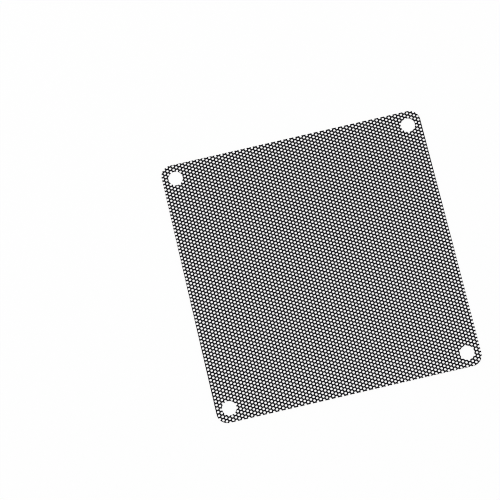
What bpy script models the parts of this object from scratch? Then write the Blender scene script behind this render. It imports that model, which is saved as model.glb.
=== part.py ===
"""Dust filter sheet for an 80 mm cooling fan: one flat piece of black plastic mesh.

The sheet is die cut from a roll of plastic that is perforated all over with fine hexagonal holes. It has
rounded corners and a screw hole near each of them, on the fan's own square hole pattern, and it has no
frame, rim or fixings. It lies flat: its lower face is on z = 0, and the origin is at its middle.

The real sheet has about six thousand holes. Here one hexagonal opening stands for a block of them, at the
same proportions, so the open share of the sheet and its weight are the real ones.
"""

import math

import bmesh
import bpy

# Screw holes, in metres, on the square pattern of an 80 mm fan
SCREW_SPACING = 0.0715
SCREW_HOLE_DIAMETER = 0.0043

# From the screw holes' centres out to the sheet's long sides and to its two ends
SIDE_MARGIN = 0.00405
END_MARGIN = 0.00425

# Cut sheet
SHEET_WIDTH = SCREW_SPACING + 2 * SIDE_MARGIN
SHEET_LENGTH = SCREW_SPACING + 2 * END_MARGIN
SHEET_THICKNESS = 0.00035
CORNER_RADIUS = 0.0033

# Fine mesh of the plastic: distance between hole centres, and the web left between two holes
MESH_PITCH = 0.001082
MESH_WEB = 0.00040

# The roll is perforated before it is cut, so the rows lie a little askew and off centre on the sheet
MESH_TILT_DEGREES = 0.26
MESH_SHIFT_X = 0.00003
MESH_SHIFT_Y = -0.00027

# Fine holes along each side of the block that one modelled opening stands for
FINE_HOLES_PER_OPENING = 4

# Solid strip that the openings leave along the sheet's edge and round its screw holes
EDGE_LAND = 0.0004

# Points of a quarter turn on the corners and on the screw holes
CORNER_STEPS = 8
SCREW_HOLE_STEPS = 8

# How far a cutter reaches past the faces that it cuts
CUTTER_OVERRUN = 0.0005

# Points nearer than this are one point when a filled outline's caps are joined to its sides
WELD_DISTANCE = 0.0000001

PLASTIC_COLOUR = (0.011, 0.011, 0.014, 1.0)
PLASTIC_ROUGHNESS = 0.45


def clear_scene():
    for leftover in list(bpy.data.objects):
        bpy.data.objects.remove(leftover, do_unlink=True)


def new_collection(name):
    collection = bpy.data.collections.new(name)
    bpy.context.scene.collection.children.link(collection)
    return collection


def black_plastic():
    material = bpy.data.materials.new("black_plastic")
    material.use_nodes = True
    shader = material.node_tree.nodes["Principled BSDF"]
    shader.inputs["Base Color"].default_value = PLASTIC_COLOUR
    shader.inputs["Roughness"].default_value = PLASTIC_ROUGHNESS
    shader.inputs["Metallic"].default_value = 0.0
    return material


def arc(centre, radius, start, sweep, steps):
    """Points along an arc, in degrees counter-clockwise, with both ends."""
    points = []
    for step in range(steps + 1):
        angle = math.radians(start + sweep * step / steps)
        points.append((centre[0] + radius * math.cos(angle), centre[1] + radius * math.sin(angle)))
    return points


def circle(centre, radius, steps_per_quarter):
    return arc(centre, radius, 0, 360, 4 * steps_per_quarter)[:-1]


def sheet_outline(inset=0.0):
    """The rounded rectangle of the cut sheet, drawn in from its edge by the inset."""
    radius = CORNER_RADIUS - inset
    centre_x = SHEET_WIDTH / 2 - CORNER_RADIUS
    centre_y = SHEET_LENGTH / 2 - CORNER_RADIUS
    points = []
    for start, side_x, side_y in ((0, 1, 1), (90, -1, 1), (180, -1, -1), (270, 1, -1)):
        points += arc((side_x * centre_x, side_y * centre_y), radius, start, 90, CORNER_STEPS)
    return points


def screw_hole_centres():
    half = SCREW_SPACING / 2
    return [(side_x * half, side_y * half) for side_x in (-1, 1) for side_y in (-1, 1)]


def screw_hole_outlines(land=0.0):
    """The four screw holes, each widened all round by the land."""
    radius = SCREW_HOLE_DIAMETER / 2 + land
    return [circle(centre, radius, SCREW_HOLE_STEPS) for centre in screw_hole_centres()]


def hexagon(centre, across_flats, turn):
    """Six corners, two of them along the sheet's width when the turn is zero."""
    return arc(centre, across_flats / math.sqrt(3), turn, 360, 6)[:-1]


def inside_mesh_area(x, y):
    """Whether a point is inside the sheet by at least the land, and outside every screw hole by as much."""
    past_x = abs(x) - (SHEET_WIDTH / 2 - CORNER_RADIUS)
    past_y = abs(y) - (SHEET_LENGTH / 2 - CORNER_RADIUS)
    beyond = math.hypot(max(past_x, 0.0), max(past_y, 0.0)) + min(max(past_x, past_y), 0.0)
    if beyond > CORNER_RADIUS - EDGE_LAND:
        return False
    clear = SCREW_HOLE_DIAMETER / 2 + EDGE_LAND
    return all(math.dist((x, y), centre) > clear for centre in screw_hole_centres())


def mesh_openings():
    """Hexagons on a honeycomb whose straight rows run along the sheet's length."""
    pitch = MESH_PITCH * FINE_HOLES_PER_OPENING
    across_flats = (MESH_PITCH - MESH_WEB) * FINE_HOLES_PER_OPENING
    column_step = pitch * math.sqrt(3) / 2
    tilt = math.radians(MESH_TILT_DEGREES)
    reach = math.hypot(SHEET_WIDTH, SHEET_LENGTH) / 2
    columns = math.ceil(reach / column_step)
    rows = math.ceil(reach / pitch)
    outlines = []
    for column in range(-columns, columns + 1):
        for row in range(-rows, rows + 1):
            across = column * column_step
            along = (row + 0.5 * (column % 2)) * pitch
            x = MESH_SHIFT_X + across * math.cos(tilt) - along * math.sin(tilt)
            y = MESH_SHIFT_Y + across * math.sin(tilt) + along * math.cos(tilt)
            if inside_mesh_area(x, y):
                outlines.append(hexagon((x, y), across_flats, MESH_TILT_DEGREES))
    return outlines


def plate(name, outlines, bottom, top, collection):
    """A flat solid between two heights, from closed outlines: one inside another is a hole in it."""
    curve = bpy.data.curves.new(name + "_outline", "CURVE")
    curve.dimensions = "2D"
    curve.fill_mode = "BOTH"
    curve.extrude = (top - bottom) / 2
    for points in outlines:
        spline = curve.splines.new("POLY")
        spline.points.add(len(points) - 1)
        for target, (x, y) in zip(spline.points, points):
            target.co = (x, y, 0.0, 1.0)
        spline.use_cyclic_u = True
    drawn = bpy.data.objects.new(name + "_outline", curve)
    drawn.location.z = (top + bottom) / 2
    collection.objects.link(drawn)
    return made_solid(drawn, name, collection)


def made_solid(drawn, name, collection):
    """Turns a filled curve into a mesh whose caps are joined to its sides."""
    bpy.context.view_layer.update()
    graph = bpy.context.evaluated_depsgraph_get()
    mesh = bpy.data.meshes.new_from_object(drawn.evaluated_get(graph))
    mesh.name = name
    shape = bmesh.new()
    shape.from_mesh(mesh)
    bmesh.ops.remove_doubles(shape, verts=shape.verts, dist=WELD_DISTANCE)
    bmesh.ops.recalc_face_normals(shape, faces=shape.faces)
    shape.to_mesh(mesh)
    shape.free()
    solid = bpy.data.objects.new(name, mesh)
    solid.matrix_world = drawn.matrix_world
    collection.objects.link(solid)
    bpy.data.objects.remove(drawn, do_unlink=True)
    return solid


def hide_cutter(cutter):
    cutter.hide_render = True
    cutter.display_type = "WIRE"


def add_boolean(target, cutter, operation, name):
    modifier = target.modifiers.new(name, "BOOLEAN")
    modifier.operation = operation
    modifier.solver = "EXACT"
    modifier.object = cutter


def build_filter():
    parts = new_collection("fan_dust_filter")
    cutters = new_collection("fan_dust_filter_cutters")
    blank = [sheet_outline()] + screw_hole_outlines()
    sheet = plate("mesh_sheet", blank, 0.0, SHEET_THICKNESS, parts)
    sheet.data.materials.clear()
    sheet.data.materials.append(black_plastic())

    low = -CUTTER_OVERRUN
    high = SHEET_THICKNESS + CUTTER_OVERRUN
    openings = plate("mesh_openings_cutter", mesh_openings(), low, high, cutters)
    kept_area = [sheet_outline(EDGE_LAND)] + screw_hole_outlines(EDGE_LAND)
    area = plate("mesh_area_cutter", kept_area, low - CUTTER_OVERRUN, high + CUTTER_OVERRUN, cutters)
    hide_cutter(openings)
    hide_cutter(area)
    add_boolean(openings, area, "INTERSECT", "keep_inside_mesh_area")
    add_boolean(sheet, openings, "DIFFERENCE", "perforate")


clear_scene()
build_filter()
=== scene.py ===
import math

import bpy
import numpy as np
from mathutils import Matrix, Vector
from mathutils.geometry import delaunay_2d_cdt


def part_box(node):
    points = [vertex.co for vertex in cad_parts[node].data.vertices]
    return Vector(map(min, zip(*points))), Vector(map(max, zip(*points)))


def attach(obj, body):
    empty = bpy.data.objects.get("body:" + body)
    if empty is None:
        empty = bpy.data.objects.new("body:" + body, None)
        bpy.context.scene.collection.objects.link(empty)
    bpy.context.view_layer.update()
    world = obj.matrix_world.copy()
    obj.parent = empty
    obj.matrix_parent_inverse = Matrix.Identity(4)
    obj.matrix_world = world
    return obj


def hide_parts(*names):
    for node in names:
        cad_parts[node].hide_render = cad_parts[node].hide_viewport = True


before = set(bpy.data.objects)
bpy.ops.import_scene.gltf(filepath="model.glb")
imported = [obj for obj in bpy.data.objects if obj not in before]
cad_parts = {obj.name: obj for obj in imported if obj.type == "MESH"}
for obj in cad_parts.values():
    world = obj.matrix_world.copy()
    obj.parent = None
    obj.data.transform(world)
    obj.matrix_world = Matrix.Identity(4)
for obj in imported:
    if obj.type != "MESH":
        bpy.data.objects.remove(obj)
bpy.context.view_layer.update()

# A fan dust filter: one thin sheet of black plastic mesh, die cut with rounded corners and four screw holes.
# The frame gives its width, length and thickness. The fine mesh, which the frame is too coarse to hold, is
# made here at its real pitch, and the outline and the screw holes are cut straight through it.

# Sizes of the sheet, in metres, from the frame where it holds them
SHEET_NODE = "mesh_sheet"
SHEET_LOW, SHEET_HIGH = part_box(SHEET_NODE)
SHEET_WIDTH = SHEET_HIGH.x - SHEET_LOW.x
SHEET_LENGTH = SHEET_HIGH.y - SHEET_LOW.y
CORNER_RADIUS = 0.0033
SCREW_SPACING = 0.0715
SCREW_HOLE_DIAMETER = 0.0043

# Fine mesh: the distance between hole centres, the web between two holes, and the sides of a hole
MESH_PITCH = 0.001082
MESH_WEB = 0.00040
HOLE_SIDES = 6

# The roll is perforated before it is cut, so the rows lie a little askew and off centre on the sheet
MESH_TILT = math.radians(0.26)
MESH_SHIFT_X = 0.00003
MESH_SHIFT_Y = -0.00027

# Fineness of the cut edges
CORNER_STEPS = 10
SCREW_HOLE_STEPS = 48

# The cutting works in millimetres, takes points nearer than this as one, and gives back triangles that fill
# the whole hull of the loops
TO_MM = 1000.0
SAME_POINT_MM = 0.0002
HULL_TRIANGLES = 0

# Texture map of the sheet, by its name: the width of the strip that stands for a wall's height on it, and
# the empty border round each face
MAP_NAME = "OFBake"
WALL_STRIP = 0.00022
MAP_BORDER = 0.0005

# The sheet's two flat faces are all triangles, so a face with this many corners is a wall
WALL_CORNERS = 4

# Black plastic: its darker and lighter tone, the stretch of the clouds that turns one into the other, the
# roughness at either end of the clouds, and how little it mirrors
DARK_TONE = (0.0038, 0.0037, 0.0055, 1.0)
LIGHT_TONE = (0.0060, 0.0058, 0.0082, 1.0)
TONE_START = 0.35
TONE_END = 0.65
GLOSSY_ROUGHNESS = 0.42
DULL_ROUGHNESS = 0.56
SPECULAR_LEVEL = 0.05

# Its clouds and its grain, by how many fit in a metre, and the height of the grain
CLOUDS_PER_METRE = 60.0
CLOUD_DETAIL = 4.0
GRAINS_PER_METRE = 7500.0
GRAIN_DETAIL = 3.0
GRAIN_STRENGTH = 1.0
GRAIN_HEIGHT = 0.00006

# The photograph's camera: where it stands, the point of the table that it aims at, its roll and its lens.
# The photograph is crisp down to single holes, so a pixel takes in little of its neighbours
CAMERA_PLACE = Vector((-0.0431, -0.1548, 0.6725))
CAMERA_AIM = Vector((-0.01909, 0.00918, 0.0))
CAMERA_ROLL = math.radians(-4.92)
CAMERA_LENS = 168.07
CAMERA_SENSOR = 36.0
PIXEL_FILTER_WIDTH = 1.0

# Table, a hair below the sheet
FLOOR_SIZE = 6.0
FLOOR_GAP = 0.00002
FLOOR_COLOUR = (0.9, 0.9, 0.9, 1.0)

# The page's plain white behind the sheet, and the share of it in what the table shows
PAGE_WHITE = (1.0, 1.0, 1.0, 1.0)
PAGE_LEVEL = 1.0
BACKGROUND_SHARE = 0.85

# Light: the level of the white world, and two square lamps with their side, places and watts
WORLD_LEVEL = 0.6
LAMP_SIDE = 0.8
KEY_LAMP_PLACE = (-0.6, 0.5, 1.1)
KEY_LAMP_WATTS = 7.5
FILL_LAMP_PLACE = (0.9, -0.3, 0.9)
FILL_LAMP_WATTS = 4.0


def arc(centre, radius, start, sweep, steps):
    """Points along an arc, in radians counter-clockwise, with both ends."""
    points = []
    for step in range(steps + 1):
        angle = start + sweep * step / steps
        points.append((centre[0] + radius * math.cos(angle), centre[1] + radius * math.sin(angle)))
    return points


def closed_arc(centre, radius, start, steps):
    """Points once round a circle, which are also a polygon's corners."""
    return arc(centre, radius, start, 2 * math.pi, steps)[:-1]


def sheet_outline():
    """The rounded rectangle that the die cuts."""
    centre_x = SHEET_WIDTH / 2 - CORNER_RADIUS
    centre_y = SHEET_LENGTH / 2 - CORNER_RADIUS
    points = []
    for quarter, side_x, side_y in ((0, 1, 1), (1, -1, 1), (2, -1, -1), (3, 1, -1)):
        corner = (side_x * centre_x, side_y * centre_y)
        points += arc(corner, CORNER_RADIUS, quarter * math.pi / 2, math.pi / 2, CORNER_STEPS)
    return points


def screw_hole_outlines():
    """The four round holes that the die cuts, on a square."""
    half = SCREW_SPACING / 2
    centres = [(side_x * half, side_y * half) for side_x in (-1, 1) for side_y in (-1, 1)]
    return [closed_arc(centre, SCREW_HOLE_DIAMETER / 2, 0.0, SCREW_HOLE_STEPS) for centre in centres]


def mesh_holes():
    """Every fine hexagonal hole that the sheet or its edge meets. The straight rows run along the length."""
    hole_corner = (MESH_PITCH - MESH_WEB) / math.sqrt(3)
    column_step = MESH_PITCH * math.sqrt(3) / 2
    reach = math.hypot(SHEET_WIDTH, SHEET_LENGTH) / 2
    columns = math.ceil(reach / column_step)
    rows = math.ceil(reach / MESH_PITCH)
    outlines = []
    for column in range(-columns, columns + 1):
        for row in range(-rows, rows + 1):
            across = column * column_step
            along = (row + 0.5 * (column % 2)) * MESH_PITCH
            x = MESH_SHIFT_X + across * math.cos(MESH_TILT) - along * math.sin(MESH_TILT)
            y = MESH_SHIFT_Y + across * math.sin(MESH_TILT) + along * math.cos(MESH_TILT)
            if abs(x) < SHEET_WIDTH / 2 + MESH_PITCH and abs(y) < SHEET_LENGTH / 2 + MESH_PITCH:
                outlines.append(closed_arc((x, y), hole_corner, MESH_TILT, HOLE_SIDES))
    return outlines


def cut_sheet():
    """Points in metres and triangles of the flat sheet, after every hole and the outline are cut."""
    loops = [sheet_outline()] + screw_hole_outlines() + mesh_holes()
    points = []
    faces = []
    for loop in loops:
        faces.append(list(range(len(points), len(points) + len(loop))))
        points += [Vector((x * TO_MM, y * TO_MM)) for x, y in loop]
    cut = delaunay_2d_cdt(points, [], faces, HULL_TRIANGLES, SAME_POINT_MM, True)
    cut_points, _, cut_triangles, _, _, loops_around = cut
    places = np.array([tuple(point) for point in cut_points]) / TO_MM
    # Plastic is left where the outline, the first loop, is the only one round a triangle
    plastic = [triangle for triangle, around in zip(cut_triangles, loops_around) if list(around) == [0]]
    return places, np.array(plastic)


def largest_piece(triangles, point_count):
    """Only the triangles that hang together with most of the sheet: what the die cuts loose falls away."""
    owner = np.arange(point_count)
    while True:
        lowest = owner[triangles].min(axis=1)
        before = owner.copy()
        for corner in range(3):
            np.minimum.at(owner, triangles[:, corner], lowest)
        owner = owner[owner]
        if (owner == before).all():
            break
    labels, counts = np.unique(owner[triangles[:, 0]], return_counts=True)
    return triangles[owner[triangles[:, 0]] == labels[counts.argmax()]]


def border_edges(triangles):
    """Directed edges with plastic on their left only."""
    edges = np.concatenate([triangles[:, [0, 1]], triangles[:, [1, 2]], triangles[:, [2, 0]]])
    size = int(edges.max()) + 1
    forward = edges[:, 0] * size + edges[:, 1]
    backward = edges[:, 1] * size + edges[:, 0]
    return edges[~np.isin(forward, backward)]


def counter_clockwise(places, triangles):
    """The triangles, each with its corners in counter-clockwise order as seen from above."""
    a, b, c = (places[triangles[:, corner]] for corner in range(3))
    turned = (b[:, 0] - a[:, 0]) * (c[:, 1] - a[:, 1]) - (b[:, 1] - a[:, 1]) * (c[:, 0] - a[:, 0])
    return np.where((turned < 0)[:, None], triangles[:, ::-1], triangles)


def off_the_edge(places, edges):
    """Each point of the cut edges, moved off the plastic by the strip that stands for a wall."""
    along = places[edges[:, 1]] - places[edges[:, 0]]
    outward = np.column_stack([along[:, 1], -along[:, 0]]) / np.linalg.norm(along, axis=1)[:, None]
    # The outward directions of a corner's two edges add up to its pull. Twice the pull, divided by its
    # squared length, moves both edges out by one. Never dividing by less than 1 keeps a sharp corner near.
    pull = np.zeros_like(places)
    for end in range(2):
        np.add.at(pull, edges[:, end], outward)
    squared = np.maximum((pull ** 2).sum(axis=1), 1.0)
    return places + 2 * WALL_STRIP * pull / squared[:, None]


def lay_out_map(mesh, places, strip_places):
    """Lays the surface out flat, so that textures baked from it keep its grain. The upper face takes the
    left half of the image, with the walls as strips in its holes, and the lower face the right half."""
    corners = np.empty(len(mesh.loops), np.int32)
    mesh.loops.foreach_get("vertex_index", corners)
    face_sizes = np.empty(len(mesh.polygons), np.int32)
    mesh.polygons.foreach_get("loop_total", face_sizes)
    on_wall = np.repeat(face_sizes == WALL_CORNERS, face_sizes)
    is_low = corners < len(places)
    spots = places[corners % len(places)]
    spots[on_wall & is_low] = strip_places[corners[on_wall & is_low]]
    span = max(SHEET_WIDTH, SHEET_LENGTH) + 2 * MAP_BORDER
    across, along = (spots / span + 0.5).T
    across = np.where(is_low & ~on_wall, 1.0 - across / 2, across / 2)
    layer = mesh.uv_layers.new(name=MAP_NAME)
    layer.uv.foreach_set("vector", np.column_stack([across, along]).astype(np.float32).ravel())


def fine_sheet():
    """The sheet with its whole fine mesh, as one closed solid between the frame's two faces."""
    places, triangles = cut_sheet()
    triangles = counter_clockwise(places, triangles)
    triangles = largest_piece(triangles, len(places))
    used, triangles = np.unique(triangles, return_inverse=True)
    triangles = triangles.reshape(-1, 3)
    places = places[used]
    count = len(places)
    low = np.column_stack([places, np.full(count, SHEET_LOW.z)])
    high = np.column_stack([places, np.full(count, SHEET_HIGH.z)])
    edges = border_edges(triangles)
    walls = np.column_stack([edges[:, 0], edges[:, 1], edges[:, 1] + count, edges[:, 0] + count])
    faces = triangles[:, ::-1].tolist() + (triangles + count).tolist() + walls.tolist()
    mesh = bpy.data.meshes.new("fine_mesh_sheet")
    mesh.from_pydata(np.concatenate([low, high]).tolist(), [], faces)
    mesh.validate()
    lay_out_map(mesh, places, off_the_edge(places, edges))
    mesh.update()
    sheet = bpy.data.objects.new("fine_mesh_sheet", mesh)
    bpy.context.scene.collection.objects.link(sheet)
    return sheet


def new_material(name):
    """A node material, emptied, with its output node."""
    material = bpy.data.materials.new(name)
    material.use_nodes = True
    material.node_tree.nodes.clear()
    output = material.node_tree.nodes.new("ShaderNodeOutputMaterial")
    return material, output


def link(tree, source, source_name, target, target_name):
    """Joins an output of one node to an input of another, both by name."""
    tree.links.new(source.outputs[source_name], target.inputs[target_name])


def noise(tree, place, scale, detail):
    """Noise that is fixed to the sheet's own coordinates."""
    texture = tree.nodes.new("ShaderNodeTexNoise")
    texture.inputs["Scale"].default_value = scale
    texture.inputs["Detail"].default_value = detail
    link(tree, place, "Object", texture, "Vector")
    return texture


def black_plastic():
    """Satin black plastic: faint cloudy tone and gloss, and the fine grain that the rollers leave."""
    material, output = new_material("black_plastic")
    tree = material.node_tree
    shader = tree.nodes.new("ShaderNodeBsdfPrincipled")
    shader.inputs["Metallic"].default_value = 0.0
    shader.inputs["Specular IOR Level"].default_value = SPECULAR_LEVEL
    link(tree, shader, "BSDF", output, "Surface")

    place = tree.nodes.new("ShaderNodeTexCoord")
    cloud = noise(tree, place, CLOUDS_PER_METRE, CLOUD_DETAIL)
    grain = noise(tree, place, GRAINS_PER_METRE, GRAIN_DETAIL)

    tone = tree.nodes.new("ShaderNodeValToRGB")
    tone.color_ramp.elements[0].position = TONE_START
    tone.color_ramp.elements[0].color = DARK_TONE
    tone.color_ramp.elements[1].position = TONE_END
    tone.color_ramp.elements[1].color = LIGHT_TONE
    link(tree, cloud, "Fac", tone, "Fac")
    link(tree, tone, "Color", shader, "Base Color")

    gloss = tree.nodes.new("ShaderNodeMapRange")
    gloss.inputs["To Min"].default_value = GLOSSY_ROUGHNESS
    gloss.inputs["To Max"].default_value = DULL_ROUGHNESS
    link(tree, cloud, "Fac", gloss, "Value")
    link(tree, gloss, "Result", shader, "Roughness")

    relief = tree.nodes.new("ShaderNodeBump")
    relief.inputs["Strength"].default_value = GRAIN_STRENGTH
    relief.inputs["Distance"].default_value = GRAIN_HEIGHT
    link(tree, grain, "Fac", relief, "Height")
    link(tree, relief, "Normal", shader, "Normal")
    return material


def seen_directly(tree):
    """1 for rays that show the backdrop itself or its reflection, 0 for those that only light the object."""
    path = tree.nodes.new("ShaderNodeLightPath")
    seen = path.outputs["Is Camera Ray"]
    for ray in ("Is Glossy Ray", "Is Transmission Ray"):
        either = tree.nodes.new("ShaderNodeMath")
        either.operation = "MAXIMUM"
        tree.links.new(seen, either.inputs[0])
        tree.links.new(path.outputs[ray], either.inputs[1])
        seen = either.outputs["Value"]
    return seen


def white_table():
    """A matt white table that photographs as the page's white and keeps a faint shadow."""
    material, output = new_material("white_table")
    tree = material.node_tree
    paint = tree.nodes.new("ShaderNodeBsdfDiffuse")
    paint.inputs["Color"].default_value = FLOOR_COLOUR
    page = tree.nodes.new("ShaderNodeEmission")
    page.inputs["Color"].default_value = PAGE_WHITE
    page.inputs["Strength"].default_value = PAGE_LEVEL
    share = tree.nodes.new("ShaderNodeMath")
    share.operation = "MULTIPLY"
    share.inputs[1].default_value = BACKGROUND_SHARE
    tree.links.new(seen_directly(tree), share.inputs[0])
    mix = tree.nodes.new("ShaderNodeMixShader")
    tree.links.new(share.outputs["Value"], mix.inputs["Fac"])
    tree.links.new(paint.outputs["BSDF"], mix.inputs[1])
    tree.links.new(page.outputs["Emission"], mix.inputs[2])
    link(tree, mix, "Shader", output, "Surface")
    return material


def add_floor():
    """The table that the sheet lies on."""
    bpy.ops.mesh.primitive_plane_add(size=FLOOR_SIZE, location=(0.0, 0.0, SHEET_LOW.z - FLOOR_GAP))
    floor = bpy.context.object
    floor.name = "table"
    floor.data.materials.append(white_table())


def add_world():
    """A plain white studio: an even level on the object, and the page's white behind it."""
    world = bpy.data.worlds.new("studio")
    bpy.context.scene.world = world
    world.use_nodes = True
    tree = world.node_tree
    background = tree.nodes["Background"]
    background.inputs["Color"].default_value = PAGE_WHITE
    level = tree.nodes.new("ShaderNodeMapRange")
    level.inputs["To Min"].default_value = WORLD_LEVEL
    level.inputs["To Max"].default_value = PAGE_LEVEL
    tree.links.new(seen_directly(tree), level.inputs["Value"])
    link(tree, level, "Result", background, "Strength")


def add_lamp(name, place, watts):
    """A square lamp that faces the sheet."""
    lamp = bpy.data.lights.new(name, "AREA")
    lamp.shape = "SQUARE"
    lamp.size = LAMP_SIDE
    lamp.energy = watts
    stand = bpy.data.objects.new(name, lamp)
    stand.location = place
    stand.rotation_euler = (-Vector(place)).to_track_quat("-Z", "Y").to_euler()
    bpy.context.scene.collection.objects.link(stand)


def add_camera():
    """The photograph's camera."""
    lens = bpy.data.cameras.new("photo_camera")
    lens.lens = CAMERA_LENS
    lens.sensor_width = CAMERA_SENSOR
    camera = bpy.data.objects.new("photo_camera", lens)
    facing = (CAMERA_AIM - CAMERA_PLACE).to_track_quat("-Z", "Y").to_matrix().to_4x4()
    roll = Matrix.Rotation(CAMERA_ROLL, 4, "Z")
    camera.matrix_world = Matrix.Translation(CAMERA_PLACE) @ facing @ roll
    bpy.context.scene.collection.objects.link(camera)
    bpy.context.scene.camera = camera


add_camera()
sheet = fine_sheet()
sheet.data.materials.append(black_plastic())
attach(sheet, "root")
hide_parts(SHEET_NODE)

add_floor()
add_world()
add_lamp("key_lamp", KEY_LAMP_PLACE, KEY_LAMP_WATTS)
add_lamp("fill_lamp", FILL_LAMP_PLACE, FILL_LAMP_WATTS)
bpy.context.scene.view_settings.view_transform = "Standard"
bpy.context.scene.cycles.filter_width = PIXEL_FILTER_WIDTH
